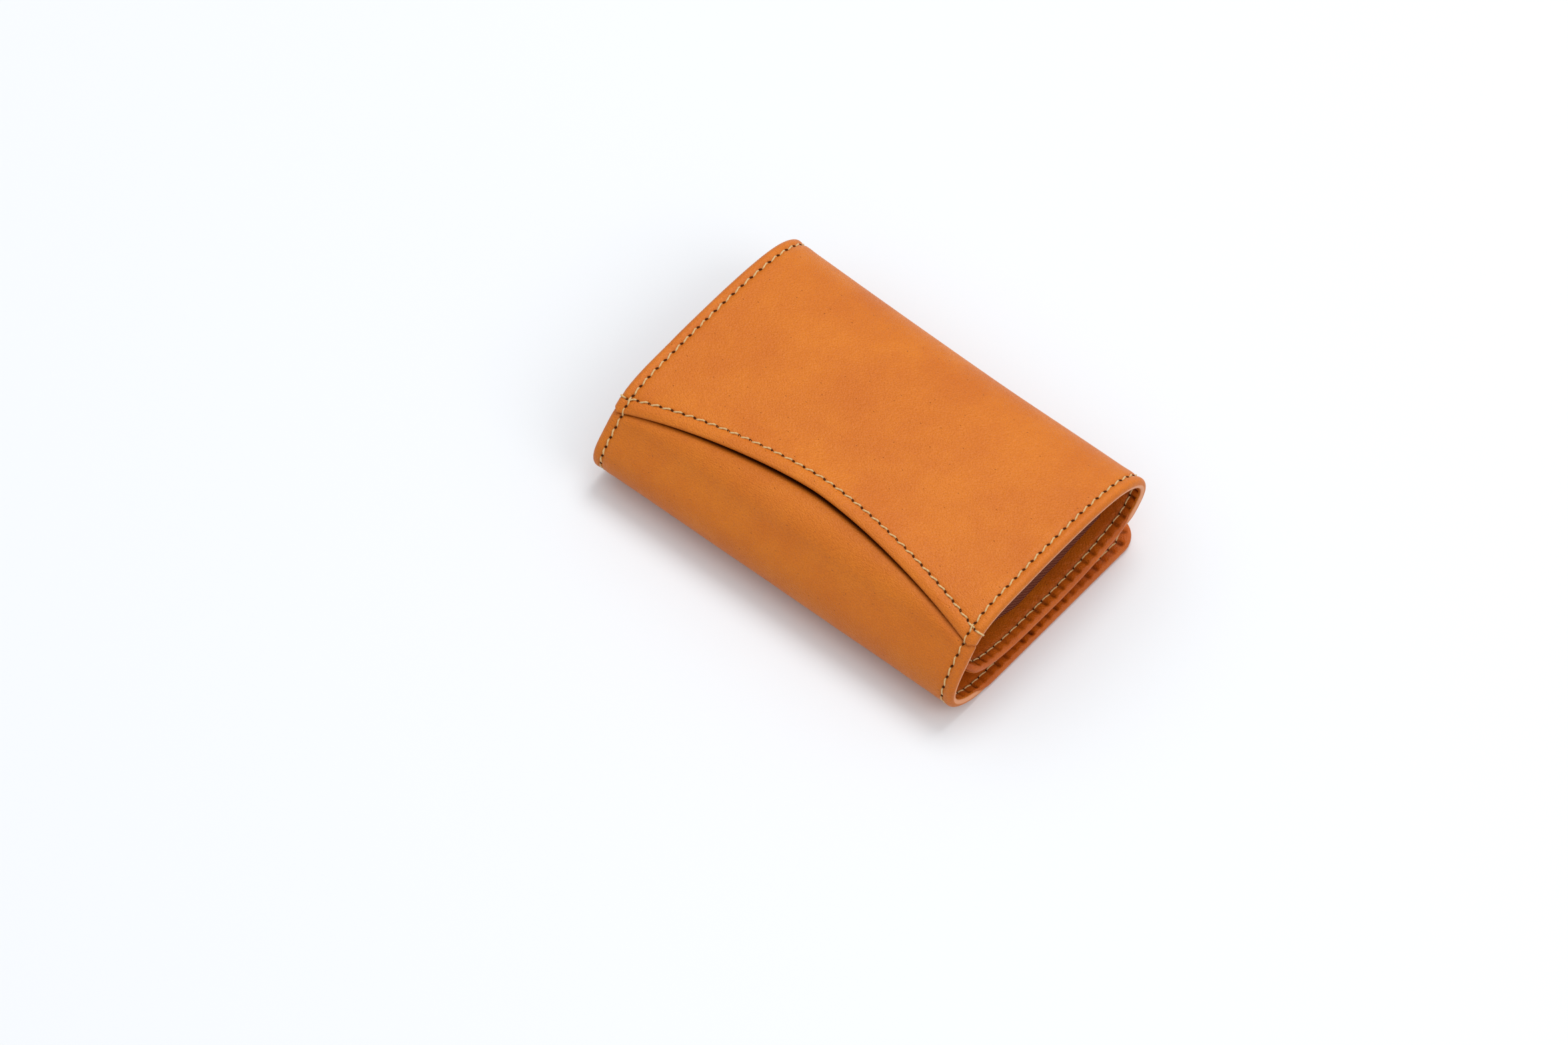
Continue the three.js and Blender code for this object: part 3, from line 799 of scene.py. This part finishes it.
class Sewing:
    """Collects the threads and needle holes of one piece."""

    def __init__(self):
        self.verts, self.flat, self.shade, self.faces, self.kind = [], [], [], [], []
        self.count = 0

    def add(self, rings, shade, kind):
        """A closed tube through rings of points given as x, s and depth."""
        steps, around = rings.shape[:2]
        block = rings.reshape(-1, 3)
        self.verts.append(outer.place(block[:, 0], block[:, 1], block[:, 2]))
        self.flat.append(block)
        self.shade.append(np.repeat(shade, around))
        index = self.count + np.arange(steps * around).reshape(steps, around)
        after = np.roll(index, -1, 1)
        sides = np.stack([index[:-1], after[:-1], after[1:], index[1:]], -1).reshape(-1, 4)
        self.faces += sides.tolist() + [index[0][::-1].tolist(), index[-1].tolist()]
        self.kind += [kind] * (len(sides) + 2)
        self.count += len(block)

    def thread(self, path, across, shade, face=OUTSIDE):
        """Two-ply thread along a path, with across pointing sideways from it."""
        ahead = np.gradient(path, axis=0)
        ahead /= np.linalg.norm(ahead, axis=1)[:, None]
        side = np.broadcast_to(across, path.shape)
        up = np.cross(ahead, side)
        up /= np.linalg.norm(up, axis=1)[:, None]
        length = np.concatenate([[0], np.cumsum(np.linalg.norm(np.diff(path, axis=0), axis=1))])
        ply = 1 + 0.15 * np.cos(2 * (RING[None, :] - 3.4 * length[:, None]))
        radius = THREAD_RADIUS[face] * ply
        ring = side[:, None] * (np.cos(RING) * radius)[..., None]
        ring = ring + up[:, None] * (np.sin(RING) * radius)[..., None]
        self.add(path[:, None] + ring, shade, 0)

    def stitch(self, a, b, face):
        """One stitch between two needle holes, each given as x, s and depth of the leather."""
        step = b - a
        gap = np.hypot(step[0], step[1])
        along = np.array([step[0], step[1], 0]) / gap
        across = np.array([-along[1], along[0], 0])
        t = np.linspace(0, 1, 17)
        lean = -(LEAN[face] + rng.normal(0, 0.025)) * np.cos(math.pi * t)
        travel = START[face] + (gap - 2 * START[face]) * t
        rise = np.sin(math.pi * t) ** 0.5
        height = 0.16 + rng.normal(0, 0.015)
        path = a[None, :] * (1 - t)[:, None] + b[None, :] * t[:, None]
        path[:, :2] = a[:2] + along[:2] * travel[:, None]
        path = path + across * lean[:, None]
        path[:, 2] += face * (0.34 - (0.34 + height) * rise)
        # The thread is given painted shade where it dips into the needle holes at its ends.
        self.thread(path, across, 0.8 * (1 - rise ** 0.7), face)

    def hole(self, at, angle, face):
        """A diamond-shaped bowl where the needle went through, coloured near black as painted shade."""
        long, short = HOLE[face]
        pointed = 1 / (np.abs(np.cos(RING)) ** 1.25 + np.abs(np.sin(RING)) ** 1.25) ** 0.8
        rings = []
        for level, grow in BOWL:
            lx = pointed * np.cos(RING) * long * grow
            ly = pointed * np.sin(RING) * short * grow
            x = at[0] + lx * math.cos(angle) - ly * math.sin(angle)
            s = at[1] + lx * math.sin(angle) + ly * math.cos(angle)
            rings.append(np.stack([x, s, np.full(len(RING), at[2] + face * level)], -1))
        if face == OUTSIDE:
            rings = [ring[::-1] for ring in rings]
        self.add(np.array(rings), np.zeros(len(BOWL)), 1)

    def run(self, points, face, holes):
        """Stitches through every point, with needle holes at those chosen."""
        for a, b in zip(points, points[1:]):
            self.stitch(a, b, face)
        for k in holes:
            before, after = points[max(k - 1, 0)], points[min(k + 1, len(points) - 1)]
            along = math.atan2(after[1] - before[1], after[0] - before[0])
            self.hole(points[k], along + HOLE_TILT, face)

    def finish(self, name, nodes, place):
        verts, flat = np.concatenate(self.verts), np.concatenate(self.flat)
        shade = np.concatenate(self.shade)
        piece = new_mesh(name, verts, self.faces, flat, shade, [THREAD, HOLE_SHADE], self.kind)
        finish_piece(piece, nodes, place)


def needle_point(mark, sign, face):
    """Where a needle goes through a leaf's edge: x, s and depth of the leather's face there."""
    x, s = seam_point(mark, sign)
    if face == INSIDE:
        return np.array([x, s, LEAF - 0.28])
    over = behind_lip(np.array([x]), np.array([s]))[0] > 0
    level = panel_level(x, s) if over else base_level(x, s)
    in_front = S_F2 - 5 < s < S_R1
    return np.array([x, s, groove_depth(s) + (level if in_front else 0)])


def sew_edges(sewing, first, last, face):
    """Stitches of both side seams from one needle hole to another, round any free end."""
    numbers = list(range(first, last + 1))
    if first == 0:
        chain = [(k, -1) for k in reversed(numbers)] + [(k, 1) for k in numbers[1:]]
        runs = [(chain, range(1, len(chain) - 1))]
    elif last == STITCHES:
        chain = [(k, 1) for k in numbers] + [(k, -1) for k in reversed(numbers[:-1])]
        runs = [(chain, range(len(chain)))]
    else:
        runs = [([(k, sign) for k in numbers], range(len(numbers) - 1)) for sign in (-1, 1)]
    for chain, holes in runs:
        sewing.run([needle_point(k * PITCH, sign, face) for k, sign in chain], face, holes)


def hole_after(s):
    """The number of the first needle hole past a distance along the outer line."""
    return math.ceil((s + SEAM_REACH) / PITCH)


AT_FRONT, AT_FAR = hole_after(S_FRONT), hole_after(S_FAR)
AT_TOP = hole_after(S_TOP)
AT_LIP = hole_after(float(lip_s(np.array([SIDE - SEAM_MARGIN]))[0])) - 1
for name, outside, inside, nodes, place in (
    ("bottom_stitches", (0, AT_FRONT), (0, AT_FRONT), ["bottom_leaf_seam"], "front_lower"),
    ("front_stitches", (AT_FRONT, AT_LIP), (AT_FRONT, AT_TOP),
     ["front_seam_left", "front_seam_right"], "front_upper"),
    ("top_stitches", (AT_LIP, AT_FAR), (AT_TOP, AT_FAR),
     ["top_seam_left", "top_seam_right", "far_seam_left", "far_seam_right"], "far_upper"),
    ("inner_stitches", (AT_FAR, STITCHES), (AT_FAR, STITCHES), ["inner_leaf_seam"], "far_lower"),
):
    sewing = Sewing()
    sew_edges(sewing, *outside, OUTSIDE)
    sew_edges(sewing, *inside, INSIDE)
    sewing.finish(name, nodes, place)


def mouth_stitches():
    """The seam behind the lip, which runs over both side seams and round the leather's edges."""
    sewing = Sewing()
    last = math.floor(MOUTH_LENGTH[-1] / PITCH)
    x = np.interp(np.arange(-last, last + 1) * PITCH, MOUTH_LENGTH, MOUTH_X)
    s = lip_s(x) + LIP_SEAM / lip_slope(x)
    level = panel_level(x, s) + 0.14
    sewing.run(np.stack([x, s, level], -1), OUTSIDE, range(len(x)))
    for k in (0, -1):
        sign = np.sign(x[k])
        t = np.linspace(0, 1, 17)
        from_x, to_x = abs(x[k]) + 0.15, SIDE + 0.14
        edge_x = sign * (from_x + (to_x - from_x) * np.sin(math.pi / 2 * t) ** 0.8)
        depth = level[k] + 0.3 * (1 - smooth(0, 0.2, t)) - 0.25 + 1.5 * smooth(0.35, 1, t)
        path = np.stack([edge_x, np.full(17, s[k]) + 0.1 * t, depth], -1)
        # Painted shade on the thread where it leaves its needle hole.
        sewing.thread(path, np.array([0, 1.0, 0]), 0.5 * (1 - smooth(0, 0.2, t)))
    sewing.finish("mouth_stitches", ["pocket_mouth_seam"], "top_leaf")


mouth_stitches()


# ------------------------------------------------------------------ floor, light and camera
FLOOR_REACH, FLOOR_DROP = 3.0, 0.0001
FLOOR_COLOUR = (0.865, 0.875, 0.890, 1)
SKY_COLOUR = (0.95, 0.975, 1.0, 1)
VIEW_WIDTH = 326.8  # millimetres across the picture at the wallet
CAMERA_AZIMUTH, CAMERA_ELEVATION = math.radians(39.96), math.radians(54.4)
AIM_RIGHT, AIM_UP = -0.0176, -0.0033  # metres from the wallet's middle to the picture's middle


def floor():
    reach, z = FLOOR_REACH, -FLOOR_DROP
    corners = [(-reach, -reach, z), (reach, -reach, z), (reach, reach, z), (-reach, reach, z)]
    mesh = bpy.data.meshes.new("floor")
    mesh.from_pydata(corners, [], [(0, 1, 2, 3)])
    n = Nodes("floor")
    n.shader.inputs["Base Color"].default_value = FLOOR_COLOUR
    n.shader.inputs["Roughness"].default_value = 0.75
    mesh.materials.append(n.material)
    piece = bpy.data.objects.new("floor", mesh)
    bpy.context.scene.collection.objects.link(piece)


def area_light(name, place, size, power):
    """A round lamp of a size in metres and a power in watts, aimed at the wallet."""
    data = bpy.data.lights.new(name, "AREA")
    data.shape = "DISK"
    data.size = size
    data.energy = power
    light = bpy.data.objects.new(name, data)
    light.location = place
    light.rotation_euler = (-Vector(place)).to_track_quat("-Z", "Y").to_euler()
    bpy.context.scene.collection.objects.link(light)


def camera():
    """A long lens from the front right and above, aimed a little to the left of the wallet."""
    azimuth, elevation = CAMERA_AZIMUTH, CAMERA_ELEVATION
    right = Vector((math.cos(azimuth), math.sin(azimuth), 0))
    level = math.cos(elevation)
    back = Vector((math.sin(azimuth) * level, -math.cos(azimuth) * level, math.sin(elevation)))
    up = back.cross(right)
    data = bpy.data.cameras.new("camera")
    data.sensor_width = 36
    data.lens = 300
    distance = VIEW_WIDTH * MM * data.lens / data.sensor_width
    aim = right * AIM_RIGHT + up * AIM_UP
    view = bpy.data.objects.new("camera", data)
    view.location = aim + back * distance
    view.rotation_mode = "QUATERNION"
    view.rotation_quaternion = back.to_track_quat("Z", "Y")
    data.clip_start, data.clip_end = 0.1, 20
    bpy.context.scene.collection.objects.link(view)
    bpy.context.scene.camera = view


def world():
    """A sky that is bright above and dim at the horizon."""
    sky = bpy.data.worlds.new("studio")
    sky.use_nodes = True
    nodes, links = sky.node_tree.nodes, sky.node_tree.links
    background = nodes["Background"]
    background.inputs["Color"].default_value = SKY_COLOUR
    direction = nodes.new("ShaderNodeTexCoord")
    split = nodes.new("ShaderNodeSeparateXYZ")
    rising = nodes.new("ShaderNodeMapRange")
    for index, value in ((1, -0.05), (2, 0.75), (3, 0.06), (4, 0.94)):
        rising.inputs[index].default_value = value
    links.new(direction.outputs["Generated"], split.inputs[0])
    links.new(split.outputs["Z"], rising.inputs[0])
    links.new(rising.outputs[0], background.inputs["Strength"])
    bpy.context.scene.world = sky


floor()
world()
area_light("key", (-0.10, 0.85, 1.95), size=1.1, power=14.5)
area_light("fill", (1.10, 0.05, 1.00), size=0.9, power=3.6)
camera()
bpy.context.scene.view_settings.view_transform = "Standard"
